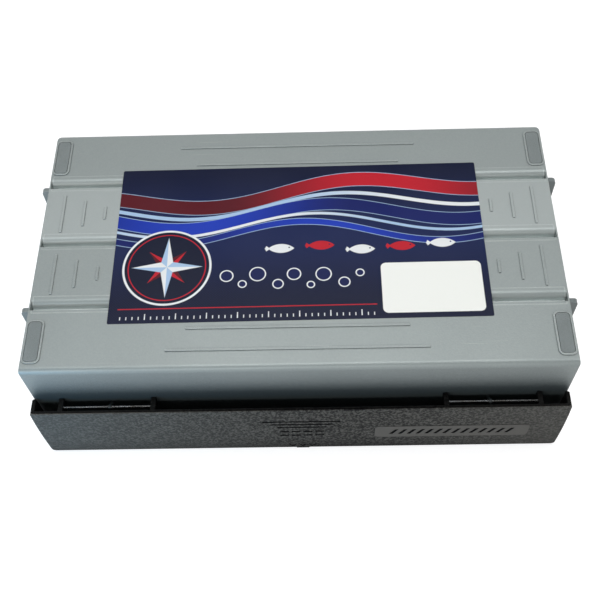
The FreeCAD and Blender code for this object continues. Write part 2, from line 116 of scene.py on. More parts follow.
def useGroup(tree, group, **values):
    node = tree.nodes.new("ShaderNodeGroup")
    node.node_tree = group
    for label, value in values.items():
        feed(tree, node.inputs[label], value)
    return node.outputs


# Effects that several finishes share

grainShape = {"size": 1000.0, "detail": 3.0, "roughness": 0.6, "pits": 0.45}


def grainGroup():
    # Spark-eroded mould texture: fine grains with small rounded pits
    sockets = [("Place", "Vector", None), ("Size", "Float", grainShape["size"])]
    group, given, result = newGroup("mouldGrain", sockets, ["Height", "Fine"])
    fine = noise(group, given["Place"], given["Size"], grainShape["detail"], grainShape["roughness"])
    cells = group.nodes.new("ShaderNodeTexVoronoi")
    group.links.new(given["Place"], cells.inputs["Vector"])
    group.links.new(given["Size"], cells.inputs["Scale"])
    height = calc(group, "MULTIPLY_ADD", cells.outputs["Distance"], grainShape["pits"], fine)
    group.links.new(height, result["Height"])
    group.links.new(fine, result["Fine"])
    return group


edgeWearAndHighlightShape = {
    "radius": 0.0008, "samples": 6, "flatDot": 0.985, "turnedDot": 0.86, "patchScale": 90.0,
    "patchDetail": 3.0, "patchLow": 0.35, "patchHigh": 0.65, "patchLeast": 0.45,
}


def edgeGroup():
    # A mask that is 1 on outer edges of the moulding, where handling polishes it; the colour it brings
    # in is partly that wear and partly a painted highlight
    sockets = [("Place", "Vector", None), ("Radius", "Float", edgeWearAndHighlightShape["radius"])]
    group, given, result = newGroup("edgeWearAndHighlight", sockets, ["Mask"])
    bevel = group.nodes.new("ShaderNodeBevel")
    bevel.samples = edgeWearAndHighlightShape["samples"]
    group.links.new(given["Radius"], bevel.inputs["Radius"])
    surface = group.nodes.new("ShaderNodeNewGeometry")
    dot = group.nodes.new("ShaderNodeVectorMath")
    dot.operation = "DOT_PRODUCT"
    group.links.new(bevel.outputs[0], dot.inputs[0])
    group.links.new(surface.outputs["Normal"], dot.inputs[1])
    turned = remap(group, dot.outputs["Value"], edgeWearAndHighlightShape["flatDot"], edgeWearAndHighlightShape["turnedDot"])
    patches = noise(group, given["Place"], edgeWearAndHighlightShape["patchScale"], edgeWearAndHighlightShape["patchDetail"])
    patches = remap(group, patches, edgeWearAndHighlightShape["patchLow"], edgeWearAndHighlightShape["patchHigh"],
                    edgeWearAndHighlightShape["patchLeast"])
    group.links.new(calc(group, "MULTIPLY", turned, patches, clamp=True), result["Mask"])
    return group


rubShape = {
    "amount": 0.5, "low": 0.68, "high": 0.74,
    "areaScale": 16.0, "areaDetail": 1.0, "areaLow": 0.5, "areaHigh": 0.64,
    "streaks": (
        {"turn": 0.35, "scale": (14.0, 900.0, 40.0)},
        {"turn": -1.1, "scale": (18.0, 1200.0, 40.0)},
    ),
}


def rubGroup():
    # Long faint rub marks in two directions, only in some areas
    sockets = [("Place", "Vector", None), ("Amount", "Float", rubShape["amount"])]
    group, given, result = newGroup("rubMarks", sockets, ["Mask"])
    marks = []
    for streak in rubShape["streaks"]:
        along = stretched(group, given["Place"], streak["scale"], (0.0, 0.0, streak["turn"]))
        marks.append(remap(group, noise(group, along, 1.0), rubShape["low"], rubShape["high"]))
    areas = noise(group, given["Place"], rubShape["areaScale"], rubShape["areaDetail"])
    areas = remap(group, areas, rubShape["areaLow"], rubShape["areaHigh"])
    both = calc(group, "MULTIPLY", calc(group, "MAXIMUM", *marks), areas)
    group.links.new(calc(group, "MULTIPLY", both, given["Amount"]), result["Mask"])
    return group


creaseShape = {"reach": 0.003, "open": 0.9, "shut": 0.35, "samples": 8}


def creaseGroup():
    # A mask that is 1 down in corners, slots and narrow places, where painted shade goes
    sockets = [("Reach", "Float", creaseShape["reach"]), ("Open", "Float", creaseShape["open"]),
               ("Shut", "Float", creaseShape["shut"])]
    group, given, result = newGroup("occlusionShade", sockets, ["Mask"])
    hidden = group.nodes.new("ShaderNodeAmbientOcclusion")
    hidden.samples = creaseShape["samples"]
    group.links.new(given["Reach"], hidden.inputs["Distance"])
    group.links.new(remap(group, hidden.outputs["AO"], given["Open"], given["Shut"]), result["Mask"])
    return group


grain = grainGroup()
edgeWearAndHighlight = edgeGroup()
rubMarks = rubGroup()
occlusionShade = creaseGroup()


def newMaterial(name):
    material = bpy.data.materials.new(name)
    material.use_nodes = True
    tree = material.node_tree
    return material, tree, tree.nodes["Principled BSDF"]


def addBump(tree, shader, height, strength, distance):
    bump = tree.nodes.new("ShaderNodeBump")
    bump.inputs["Strength"].default_value = strength
    bump.inputs["Distance"].default_value = distance
    tree.links.new(height, bump.inputs["Height"])
    tree.links.new(bump.outputs[0], shader.inputs["Normal"])


def insideBox(tree, place, box):
    # 1 inside a box given by its low and high corners in metres
    inside = 1.0
    for value, low, high in zip(splitPlace(tree, place), *box):
        inside = calc(tree, "MULTIPLY", inside, calc(tree, "GREATER_THAN", value, low))
        inside = calc(tree, "MULTIPLY", inside, calc(tree, "LESS_THAN", value, high))
    return inside


def paintedSheenRows(tree, place, color, look):
    # Painted sheen: the tray's bottom is painted a little paler towards the back, most of all along one
    # row
    across = splitPlace(tree, place)[1]
    slow = remap(tree, across, *look["backSheenStretch"], 0.0, look["backSheen"])
    off = offCentre(tree, across, look["paleRow"])
    band = remap(tree, off, *look["paleStretch"], look["paleAmount"], 0.0, smooth=True)
    return blendColor(tree, calc(tree, "ADD", slow, band), color, look["sheenColor"])


def paintFace(tree, place, color, look):
    # On the latch's face the ends get painted light and the smooth plate is paler, and the cuts and the
    # inside are painted dark as shade
    off = offCentre(tree, splitPlace(tree, place)[0], look["darkMiddle"])
    # Painted light: paler towards the ends
    pale = remap(tree, off, *look["paleStretch"], 0.0, look["paleEnd"])
    color = blendColor(tree, pale, color, look["speckColor"])
    # Painted shade on the inside and in the cuts
    inner = insideBox(tree, place, look["innerBox"])
    color = tint(tree, inner, look["innerAmount"], color, look["cutShadeColor"])
    plate = insideBox(tree, place, look["plateBox"])
    cut = insideBox(tree, place, look["cutBox"])
    color = blendColor(tree, plate, color, look["plateColor"])
    color = blendColor(tree, cut, color, look["cutShadeColor"])
    return color, calc(tree, "SUBTRACT", 1.0, calc(tree, "MAXIMUM", cut, plate))


def shadeCorners(tree, place, color, look):
    # Painted shade in fine creases, painted light on groove floors, painted shade in narrow places, and
    # painted shade on parts that stay dim
    # Painted shade in fine creases
    crease = useGroup(tree, occlusionShade, Reach=look["creaseReach"])["Mask"]
    crease = calc(tree, "MULTIPLY", crease, look["creaseAmount"])
    # Painted light on groove floors, where the crease shade is lifted too
    if "grooveBox" in look:
        bottom, top = (corner[2] for corner in look["grooveBox"])
        floor = remap(tree, splitPlace(tree, place)[2], top, bottom + look["grooveFloor"])
        floor = calc(tree, "MULTIPLY", floor, insideBox(tree, place, look["grooveBox"]))
        color = tint(tree, floor, look["grooveAmount"], color, look["grooveLitColor"])
        crease = calc(tree, "MULTIPLY", crease, calc(tree, "SUBTRACT", 1.0, floor))
    color = blendColor(tree, crease, color, look["creaseShadeColor"])
    # Painted shade where the surroundings close in
    deep = useGroup(tree, occlusionShade, Reach=look["deepReach"], Open=look["deepOpen"],
                    Shut=look["deepShut"])["Mask"]
    deep = calc(tree, "MULTIPLY", deep, insideBox(tree, place, look["deepBox"]))
    color = tint(tree, deep, look["deepAmount"], color, look["deepColor"])
    # Painted shade on given parts
    for part in look["paintedShadeParts"]:
        color = tint(tree, insideBox(tree, place, part["box"]), part["amount"], color, part["color"])
    return color


everywhere = ((-1.0, -1.0, -1.0), (1.0, 1.0, 1.0))  # a box round the whole object

plasticLook = {  # what the plastics and rubbers share, unless their own look says otherwise
    "cloudDetail": 3.0, "cloudLow": 0.3, "cloudHigh": 0.7, "speckLow": 0.35, "speckHigh": 0.65,
    "wearGloss": -0.08, "pigment": 0.0, "deepOpen": 0.9, "deepShut": 0.45, "deepBox": everywhere,
    "paintedShadeParts": (),
}


def mouldedPlastic(name, ownLook):
    # Injection-moulded plastic: even colour with slow clouds, fine grain, a few rub marks, edges
    # lightened as wear and as painted highlight, painted shade in corners, and where a look asks,
    # painted sheen on rows and painted light and shade on a face
    look = {**plasticLook, **ownLook}
    material, tree, shader = newMaterial(name)
    place = objectPlace(tree)
    clouds = noise(tree, place, look["cloudScale"], look["cloudDetail"])
    clouds = remap(tree, clouds, look["cloudLow"], look["cloudHigh"])
    color = blendColor(tree, clouds, look["color"], look["cloudColor"])
    texture = useGroup(tree, grain, Place=place, Size=look["grainSize"])
    speck = remap(tree, texture["Fine"], look["speckLow"], look["speckHigh"])
    color = tint(tree, speck, look["speckle"], color, look["speckColor"])
    if "sheenColor" in look:
        color = paintedSheenRows(tree, place, color, look)
    # Edges lightened partly as handling wear and partly as a painted highlight
    wearAndHighlightMask = useGroup(tree, edgeWearAndHighlight, Place=place, Radius=look["edgeRadius"])["Mask"]
    color = tint(tree, wearAndHighlightMask, look["edgeAmount"], color, look["wearAndHighlightColor"])
    marks = useGroup(tree, rubMarks, Place=place, Amount=look["rubAmount"])["Mask"]
    color = blendColor(tree, marks, color, look["wearAndHighlightColor"])
    color = shadeCorners(tree, place, color, look)
    height = texture["Height"]
    if "plateBox" in look:
        color, grainy = paintFace(tree, place, color, look)
        height = calc(tree, "MULTIPLY", height, grainy)
    tree.links.new(color, shader.inputs["Base Color"])
    gloss = calc(tree, "MULTIPLY_ADD", clouds, look["glossVariation"], look["roughness"])
    gloss = calc(tree, "MULTIPLY_ADD", wearAndHighlightMask, look["wearGloss"], gloss)
    tree.links.new(gloss, shader.inputs["Roughness"])
    shader.inputs["IOR"].default_value = look["ior"]
    shader.inputs["Metallic"].default_value = look["pigment"]
    addBump(tree, shader, height, look["grainStrength"], look["grainDepth"])
    return material


# Tray: cool grey satin polypropylene with a fine matt texture and a little metallic pigment

trayLook = {
    "color": rgb(146, 154, 153), "cloudColor": rgb(140, 148, 147), "cloudScale": 9.0,
    "speckColor": rgb(162, 169, 168), "speckle": 0.22,
    "grainSize": 900.0, "grainStrength": 0.35, "grainDepth": 0.0002,
    "roughness": 0.42, "glossVariation": 0.05, "ior": 1.49, "pigment": 0.3,
    "edgeRadius": 0.0009, "wearAndHighlightColor": rgb(208, 215, 213), "edgeAmount": 0.6, "rubAmount": 0.25,
    # Painted shade in creases
    "creaseReach": 0.0016, "creaseAmount": 0.95, "creaseShadeColor": rgb(66, 72, 72),
    # Painted sheen: paler towards the back and along one row
    "sheenColor": rgb(196, 203, 202), "backSheen": 0.06, "backSheenStretch": (-0.06, -0.01),
    "paleRow": 0.027, "paleStretch": (0.017, 0.03), "paleAmount": 0.3,
    # Painted light: groove floors painted paler
    "grooveBox": ((-0.1738, -0.085, 0.0933), (0.1738, 0.085, 0.0982)), "grooveFloor": 0.001,
    "grooveAmount": 1.0, "grooveLitColor": rgb(218, 225, 224),
    # Painted shade on the lower front wall above the latch
    "deepBox": ((-0.2, -0.12, 0.0), (0.2, -0.09, 0.0985)), "deepReach": 0.055, "deepOpen": 0.99,
    "deepShut": 0.8, "deepAmount": 0.94, "deepColor": rgb(68, 76, 78),
    "paintedShadeParts": (  # painted shade: the lugs behind the latch, and the ears on the left and right
        {"box": ((-0.2, -0.12, 0.0), (0.2, -0.0974, 0.0645)), "amount": 0.85, "color": rgb(22, 26, 28)},
        {"box": ((-0.2, -0.09, 0.03), (-0.1752, 0.09, 0.0985)), "amount": 0.4, "color": rgb(84, 92, 94)},
        {"box": ((0.1752, -0.09, 0.03), (0.2, 0.09, 0.0985)), "amount": 0.6, "color": rgb(84, 92, 94)},
    ),
}

# Latch: black plastic with coarse grain and pale flecks, smooth on its plate, with painted shade inside
# and in its cuts and painted light at its ends

latchLook = {
    "color": rgb(28, 29, 30), "cloudColor": rgb(40, 40, 40), "cloudScale": 90.0,
    "speckColor": rgb(124, 123, 118), "speckle": 0.7, "speckLow": 0.43, "speckHigh": 0.62,
    "grainSize": 620.0, "grainStrength": 1.0, "grainDepth": 0.0008,
    "roughness": 0.5, "glossVariation": 0.08, "ior": 1.12,
    "edgeRadius": 0.0006, "wearAndHighlightColor": rgb(84, 86, 88), "edgeAmount": 0.35, "rubAmount": 0.3,
    # Painted shade in creases and narrow places
    "creaseReach": 0.006, "creaseAmount": 0.6, "creaseShadeColor": rgb(6, 6, 7),
    "deepReach": 0.03, "deepAmount": 0.95, "deepColor": rgb(3, 3, 4),
    "plateBox": ((0.045, -0.2, 0.01), (0.16, -0.1092, 0.04)), "plateColor": rgb(114, 112, 108),
    # The cuts and the inside are painted dark as shade
    "cutBox": ((-0.16, -0.10905, 0.0025), (0.16, -0.108, 0.05)), "cutShadeColor": rgb(5, 5, 6),
    "innerBox": ((-0.1812, -0.1079, 0.0), (0.1812, 0.0, 0.2)), "innerAmount": 0.9,
    # The ends are painted paler as light
    "darkMiddle": 0.03, "paleStretch": (0.02, 0.19), "paleEnd": 0.42,
}

# Pads and seal: matt grey and black rubber, with painted shade in creases; the pads' edges get a painted
# highlight

padLook = {
    "color": rgb(124, 132, 132), "cloudColor": rgb(117, 125, 125), "cloudScale": 60.0,
    "speckColor": rgb(146, 152, 152), "speckle": 0.3,
    "grainSize": 1500.0, "grainStrength": 0.8, "grainDepth": 0.0003,
    "roughness": 0.75, "glossVariation": 0.08, "ior": 1.5,
    # Painted highlight on the rounded edges, with a little wear
    "edgeRadius": 0.0007, "wearAndHighlightColor": rgb(168, 175, 176), "edgeAmount": 0.8, "rubAmount": 0.2,
    "creaseReach": 0.001, "creaseAmount": 0.5, "creaseShadeColor": rgb(84, 90, 90),
    "deepReach": 0.003, "deepAmount": 0.2, "deepColor": rgb(84, 90, 90),
}

sealLook = {
    "color": rgb(30, 31, 33), "cloudColor": rgb(37, 38, 40), "cloudScale": 30.0,
    "speckColor": rgb(60, 60, 62), "speckle": 0.2,
    "grainSize": 1300.0, "grainStrength": 0.3, "grainDepth": 0.0001,
    "roughness": 0.6, "glossVariation": 0.1, "ior": 1.45,
    "edgeRadius": 0.0004, "wearAndHighlightColor": rgb(62, 62, 64), "edgeAmount": 0.25, "rubAmount": 0.0,
    "creaseReach": 0.002, "creaseAmount": 0.4, "creaseShadeColor": rgb(12, 12, 13),
    "deepReach": 0.006, "deepAmount": 0.3, "deepColor": rgb(12, 12, 13),
}

trayPlastic = mouldedPlastic("trayPlastic", trayLook)
latchPlastic = mouldedPlastic("latchPlastic", latchLook)
padRubber = mouldedPlastic("padRubber", padLook)
sealRubber = mouldedPlastic("sealRubber", sealLook)
print("Plastics and rubbers made")


# Lid and dividers: clear and milky plastic with a slight tint, fine ripples and handling haze

clearLook = {
    "hazeDetail": 4.0, "hazeLow": 0.35, "hazeHigh": 0.7, "rubAmount": 0.5, "rubHaze": 0.25,
    "rippleStrength": 0.15, "rippleDepth": 0.0006, "ior": 1.49,
}
lidLook = {
    **clearLook, "tint": rgb(226, 232, 234), "deepTint": rgb(214, 222, 226), "rippleScale": 26.0,
    "hazeScale": 40.0, "clear": 0.08, "hazy": 0.2, "transmission": 0.92,
}
dividerLook = {
    **clearLook, "tint": rgb(228, 230, 228), "deepTint": rgb(214, 218, 217), "rippleScale": 40.0,
    "hazeScale": 70.0, "clear": 0.25, "hazy": 0.4, "transmission": 0.6,
}


def clearPlastic(name, look):
    material, tree, shader = newMaterial(name)
    place = objectPlace(tree)
    ripple = noise(tree, place, look["rippleScale"])
    haze = noise(tree, place, look["hazeScale"], look["hazeDetail"])
    haze = remap(tree, haze, look["hazeLow"], look["hazeHigh"], look["clear"], look["hazy"])
    marks = useGroup(tree, rubMarks, Place=place, Amount=look["rubAmount"])["Mask"]
    roughness = calc(tree, "MULTIPLY_ADD", marks, look["rubHaze"], haze, clamp=True)
    tree.links.new(roughness, shader.inputs["Roughness"])
    color = blendColor(tree, ripple, look["tint"], look["deepTint"])
    tree.links.new(color, shader.inputs["Base Color"])
    shader.inputs["IOR"].default_value = look["ior"]
    shader.inputs["Transmission Weight"].default_value = look["transmission"]
    addBump(tree, shader, ripple, look["rippleStrength"], look["rippleDepth"])
    return material


lidPlastic = clearPlastic("lidPlastic", lidLook)
dividerPlastic = clearPlastic("dividerPlastic", dividerLook)


# Pins: drawn stainless wire with fine lines round it and slight tarnish

steelLook = {
    "color": rgb(96, 98, 100), "tarnish": rgb(72, 70, 66), "tarnishScale": 140.0, "tarnishDetail": 3.0,
    "tarnishLow": 0.4, "tarnishHigh": 0.7, "lineScale": (2600.0, 60.0, 60.0), "lineLow": 0.3,
    "lineHigh": 0.7, "smooth": 0.22, "rough": 0.36, "lineStrength": 0.2, "lineDepth": 0.0001,
}


def drawnSteel(look):
    material, tree, shader = newMaterial("pinSteel")
    place = objectPlace(tree)
    lines = noise(tree, stretched(tree, place, look["lineScale"]), 1.0)
    tarnish = noise(tree, place, look["tarnishScale"], look["tarnishDetail"])
    tarnish = remap(tree, tarnish, look["tarnishLow"], look["tarnishHigh"])
    color = blendColor(tree, tarnish, look["color"], look["tarnish"])
    tree.links.new(color, shader.inputs["Base Color"])
    roughness = remap(tree, lines, look["lineLow"], look["lineHigh"], look["smooth"], look["rough"])
    tree.links.new(roughness, shader.inputs["Roughness"])
    shader.inputs["Metallic"].default_value = 1.0
    addBump(tree, shader, lines, look["lineStrength"], look["lineDepth"])
    return material


pinSteel = drawnSteel(steelLook)
print("Clear plastic and steel made")


# Label: a generic printed sheet with waves, fish, a compass rose, bubbles, ruler ticks and a blank
# panel. Its pattern is drawn in millimetres from its middle.

inks = {
    "night": rgb(17, 23, 46), "deep": rgb(27, 38, 78), "red": rgb(190, 34, 48),
    "darkRed": rgb(88, 24, 34), "blue": rgb(34, 62, 178), "darkBlue": rgb(24, 34, 96),
    "pale": rgb(168, 196, 226), "white": rgb(232, 235, 236), "panel": rgb(244, 246, 241),
}


def edgeMask(tree, distance, softness=0.35):
    # 1 inside a shape, 0 outside it; distance is negative inside
    return calc(tree, "MULTIPLY_ADD", distance, -1 / softness, 0.5, clamp=True)


def ring(tree, distance, width):
    return calc(tree, "SUBTRACT", calc(tree, "ABSOLUTE", distance), width / 2)


def circleDistance(tree, x, y, middle, radius):
    dx = calc(tree, "SUBTRACT", x, middle[0])
    dy = calc(tree, "SUBTRACT", y, middle[1])
    square = calc(tree, "MULTIPLY_ADD", dx, dx, calc(tree, "MULTIPLY", dy, dy))
    return calc(tree, "SUBTRACT", calc(tree, "SQRT", square), radius)


def boxDistance(tree, x, y, middle, half, radius):
    # Distance to a rectangle with rounded corners
    gaps = [calc(tree, "SUBTRACT", offCentre(tree, value, at), size - radius)
            for value, at, size in zip((x, y), middle, half)]
    inner = calc(tree, "MINIMUM", calc(tree, "MAXIMUM", *gaps), 0.0)
    dx, dy = (calc(tree, "MAXIMUM", gap, 0.0) for gap in gaps)
    square = calc(tree, "MULTIPLY_ADD", dx, dx, calc(tree, "MULTIPLY", dy, dy))
    return calc(tree, "SUBTRACT", calc(tree, "ADD", inner, calc(tree, "SQRT", square)), radius)


groundLook = {"middle": 6.0, "reach": 60.0, "dotPitch": 3.4, "dotLow": 0.2, "dotHigh": 0.9,
              "dotAmount": 0.3}


def paintGround(tree, x, y):
    # Dark blue that is lighter along the middle, with a fine dot pattern
    off = offCentre(tree, y, groundLook["middle"])
    light = remap(tree, off, 0.0, groundLook["reach"], 1.0, 0.0, smooth=True)
    color = blendColor(tree, light, inks["night"], inks["deep"])
    rows = [calc(tree, "SINE", calc(tree, "MULTIPLY", value, groundLook["dotPitch"]))
            for value in (x, y)]
    dots = remap(tree, calc(tree, "MULTIPLY", *rows), groundLook["dotLow"], groundLook["dotHigh"],
                 0.0, groundLook["dotAmount"])
    return blendColor(tree, dots, color, inks["darkBlue"])


waveLook = {
    "length": 190.0, "glowNear": 10.0, "glowFar": 110.0,
    "wideHalf": 2.0, "trimWidth": 0.5, "trimAmount": 0.8,
    "ribbons": (
        {"level": 40.0, "height": 8.0, "phase": 0.4, "slope": 0.06, "half": 6.0, "edge": "darkRed",
         "core": "red", "bright": 60.0},
        {"level": 29.5, "height": 8.0, "phase": 0.7, "slope": 0.04, "half": 1.5, "edge": "pale",
         "core": "white", "bright": 95.0},
        {"level": 20.5, "height": 8.5, "phase": 1.0, "slope": 0.02, "half": 5.2, "edge": "darkBlue",
         "core": "blue", "bright": -70.0},
        {"level": 13.0, "height": 8.5, "phase": 1.25, "slope": 0.01, "half": 1.1, "edge": "pale",
         "core": "white", "bright": -40.0},
        {"level": 6.0, "height": 9.0, "phase": 1.5, "slope": 0.0, "half": 2.6, "edge": "darkBlue",
         "core": "blue", "bright": 20.0},
    ),
}


def paintWaves(tree, x, y, color):
    # Ribbons that swing across the upper half, each with a bright core that fades along its length
    for ribbon in waveLook["ribbons"]:
        angle = calc(tree, "MULTIPLY_ADD", x, 2 * math.pi / waveLook["length"], ribbon["phase"])
        base = calc(tree, "MULTIPLY_ADD", x, ribbon["slope"], ribbon["level"])
        line = calc(tree, "MULTIPLY_ADD", calc(tree, "SINE", angle), ribbon["height"], base)
        across = calc(tree, "SUBTRACT", offCentre(tree, y, line), ribbon["half"])
        along = offCentre(tree, x, ribbon["bright"])
        glow = remap(tree, along, waveLook["glowNear"], waveLook["glowFar"], 1.0, 0.0, smooth=True)
        tone = blendColor(tree, glow, inks[ribbon["edge"]], inks[ribbon["core"]])
        color = blendColor(tree, edgeMask(tree, across), color, tone)
        if ribbon["half"] > waveLook["wideHalf"]:
            trim = edgeMask(tree, ring(tree, across, waveLook["trimWidth"]))
            color = tint(tree, trim, waveLook["trimAmount"], color, inks["pale"])
    return color


fishLook = {
    "count": 5, "spacing": 27.0, "firstX": -12.0, "level": -7.0, "swing": 2.1, "lift": 2.2,
    "bellyShift": 9.0, "bellyRadius": 12.6, "tailRoot": -7.4, "tailSpread": -0.85, "tailLength": 4.2,
    "notchSlope": 0.5, "notchDepth": 3.6, "notchSoftness": 0.6, "eye": (5.4, 0.7), "eyeRadius": 0.55,
}


def paintFish(tree, x, y, color):
    # A shoal in one row: lens-shaped bodies with forked tails, white and red in turn
    look = fishLook
    half = look["spacing"] / 2
    local = calc(tree, "WRAP", calc(tree, "SUBTRACT", x, look["firstX"]), half, -half)
    counted = calc(tree, "MULTIPLY_ADD", x, 1 / look["spacing"], 0.5 - look["firstX"] / look["spacing"])
    number = calc(tree, "FLOOR", counted)
    lift = calc(tree, "SINE", calc(tree, "MULTIPLY", number, look["swing"]))
    lift = calc(tree, "MULTIPLY", lift, look["lift"])
    up = calc(tree, "SUBTRACT", calc(tree, "SUBTRACT", y, look["level"]), lift)
    bellies = [circleDistance(tree, local, up, (0.0, side * look["bellyShift"]), look["bellyRadius"])
               for side in (1, -1)]
    body = calc(tree, "MAXIMUM", *bellies)
    height = calc(tree, "ABSOLUTE", up)
    tailX = calc(tree, "SUBTRACT", local, look["tailRoot"])
    spread = calc(tree, "SUBTRACT", height, calc(tree, "MULTIPLY", tailX, look["tailSpread"]))
    notch = calc(tree, "MULTIPLY_ADD", height, look["notchSlope"], -look["notchDepth"])
    notch = calc(tree, "MULTIPLY", calc(tree, "SUBTRACT", notch, tailX), look["notchSoftness"])
    tail = calc(tree, "MAXIMUM", spread, calc(tree, "MULTIPLY_ADD", tailX, -1.0, -look["tailLength"]))
    fish = calc(tree, "MINIMUM", body, calc(tree, "MAXIMUM", tail, notch))
    eye = edgeMask(tree, circleDistance(tree, local, up, look["eye"], look["eyeRadius"]))
    shown = calc(tree, "MULTIPLY", edgeMask(tree, fish), calc(tree, "SUBTRACT", 1.0, eye))
    first = calc(tree, "GREATER_THAN", number, -0.5)
    last = calc(tree, "LESS_THAN", number, look["count"] - 0.5)
    shown = calc(tree, "MULTIPLY", shown, calc(tree, "MULTIPLY", first, last))
    tone = blendColor(tree, calc(tree, "PINGPONG", number, 1.0), inks["white"], inks["red"])
    return blendColor(tree, shown, color, tone)


compassLook = {
    "middle": (-88.0, -20.0), "discRadius": 29.0, "rimWidth": 1.5, "innerRadius": 25.8,
    "innerWidth": 0.7,
    "points": (
        {"tip": 17.5, "waist": 5.2, "turn": math.pi / 4, "light": "red", "dark": "darkRed"},
        {"tip": 23.5, "waist": 5.6, "turn": 0.0, "light": "white", "dark": "pale"},
    ),
}


def paintCompass(tree, x, y, color):
    # A compass rose in a ring, each point in two tones
    middle, eighth = compassLook["middle"], math.pi / 4
    disc = circleDistance(tree, x, y, middle, compassLook["discRadius"])
    color = blendColor(tree, edgeMask(tree, disc), color, inks["night"])
    rim = edgeMask(tree, ring(tree, disc, compassLook["rimWidth"]))
    color = blendColor(tree, rim, color, inks["white"])
    inner = ring(tree, circleDistance(tree, x, y, middle, compassLook["innerRadius"]),
                 compassLook["innerWidth"])
    color = blendColor(tree, edgeMask(tree, inner), color, inks["red"])
    radius = circleDistance(tree, x, y, middle, 0.0)
    dx, dy = (calc(tree, "SUBTRACT", value, at) for value, at in zip((x, y), middle))
    angle = calc(tree, "ARCTAN2", dy, dx)
    for point in compassLook["points"]:
        turned = calc(tree, "WRAP", calc(tree, "ADD", angle, point["turn"]), eighth, -eighth)
        forward = calc(tree, "MULTIPLY", radius, calc(tree, "COSINE", turned))
        sideways = calc(tree, "MULTIPLY", radius, calc(tree, "SINE", turned))
        slope = point["waist"] * math.sin(eighth) / (point["tip"] - point["waist"] * math.cos(eighth))
        edge = calc(tree, "MULTIPLY_ADD", forward, slope, -point["tip"] * slope)
        shape = calc(tree, "ADD", calc(tree, "ABSOLUTE", sideways), edge)
        half = calc(tree, "GREATER_THAN", sideways, 0.0)
        tone = blendColor(tree, half, inks[point["light"]], inks[point["dark"]])
        color = blendColor(tree, edgeMask(tree, shape), color, tone)
    return color


bubbleLook = {
    "rimWidth": 0.8, "fill": 0.45,
    "bubbles": (((-48.0, -28.0), 4.2), ((-37.5, -34.5), 2.6), ((-27.5, -27.0), 5.2),
                ((-14.0, -35.0), 3.4), ((-3.5, -27.5), 4.4), ((7.5, -36.0), 2.4),
                ((16.0, -28.0), 5.0), ((29.5, -34.5), 3.6), ((40.0, -27.5), 2.6)),
}


def paintBubbles(tree, x, y, color):
    # A row of round bubbles with pale rims, each given by its middle and radius
    for middle, radius in bubbleLook["bubbles"]:
        rim = circleDistance(tree, x, y, middle, radius)
        color = tint(tree, edgeMask(tree, rim), bubbleLook["fill"], color, inks["darkBlue"])
        rim = edgeMask(tree, ring(tree, rim, bubbleLook["rimWidth"]))
        color = blendColor(tree, rim, color, inks["white"])
    return color


rulerLook = {
    "middle": -34.0, "half": 84.0, "bottom": -60.0, "tickWidth": 0.6,
    "lineLevel": -52.0, "lineWidth": 0.7,
    "ticks": ({"spacing": 4.0, "height": 2.2}, {"spacing": 20.0, "height": 4.2}),
}


def paintRuler(tree, x, y, color):
    # Ruler ticks along the lower edge, longer at every fifth, under a thin red line
    look = rulerLook
    limit = calc(tree, "SUBTRACT", offCentre(tree, x, look["middle"]), look["half"])
    for tick in look["ticks"]:
        half = tick["height"] / 2
        along = calc(tree, "WRAP", x, tick["spacing"] / 2, -tick["spacing"] / 2)
        along = ring(tree, along, look["tickWidth"])
        low = calc(tree, "SUBTRACT", offCentre(tree, y, look["bottom"] + half), half)
        shape = calc(tree, "MAXIMUM", calc(tree, "MAXIMUM", along, low), limit)
        color = blendColor(tree, edgeMask(tree, shape), color, inks["white"])
    line = ring(tree, calc(tree, "SUBTRACT", y, look["lineLevel"]), look["lineWidth"])
    return blendColor(tree, edgeMask(tree, calc(tree, "MAXIMUM", line, limit)), color, inks["red"])


labelLook = {
    "middle": 1.3, "turn": 0.3,
    "panelMiddle": (86.6, -39.6), "panelHalf": (32.9, 19.2), "panelRadius": 3.6,
    "roughness": 0.36, "smoother": -0.04, "rougher": 0.08, "sheenScale": 22.0, "sheenDetail": 3.0,
    "sheenLow": 0.3, "sheenHigh": 0.7, "rippleScale": (20.0, 90.0, 20.0), "rippleStrength": 0.08,
    "rippleDepth": 0.0006, "ior": 1.45, "gloss": 0.22,
}


def labelPrint(look):
    material, tree, shader = newMaterial("labelPrint")
    place = objectPlace(tree)
    inMillimetres = (1000.0, 1000.0, 1000.0)
    flat = stretched(tree, place, inMillimetres, (0.0, 0.0, -math.radians(look["turn"])),
                     (-look["middle"], 0.0, 0.0))
    x, y, _ = splitPlace(tree, flat)
    color = paintGround(tree, x, y)
    for paint in (paintWaves, paintFish, paintCompass, paintBubbles, paintRuler):
        color = paint(tree, x, y, color)
    panel = boxDistance(tree, x, y, look["panelMiddle"], look["panelHalf"], look["panelRadius"])
    color = blendColor(tree, edgeMask(tree, panel), color, inks["panel"])
    tree.links.new(color, shader.inputs["Base Color"])
    sheen = noise(tree, place, look["sheenScale"], look["sheenDetail"])
    sheen = remap(tree, sheen, look["sheenLow"], look["sheenHigh"],
                  look["roughness"] + look["smoother"], look["roughness"] + look["rougher"])
    tree.links.new(sheen, shader.inputs["Roughness"])
    ripple = noise(tree, stretched(tree, place, look["rippleScale"]), 1.0)
    addBump(tree, shader, ripple, look["rippleStrength"], look["rippleDepth"])
    shader.inputs["IOR"].default_value = look["ior"]
    shader.inputs["Specular IOR Level"].default_value = look["gloss"]
    return material


labelPaper = labelPrint(labelLook)
print("Label printed")


# A name that ends in _ stands for all the parts whose names start with it
materialOf = {
    "tray_shell": trayPlastic, "partition_": trayPlastic, "lid": lidPlastic, "lid_seal": sealRubber,
    "latch_bar": latchPlastic, "label": labelPaper, "foot_pad_": padRubber, "divider_": dividerPlastic,
    "latch_pin_": pinSteel, "hinge_pin_": pinSteel,
}


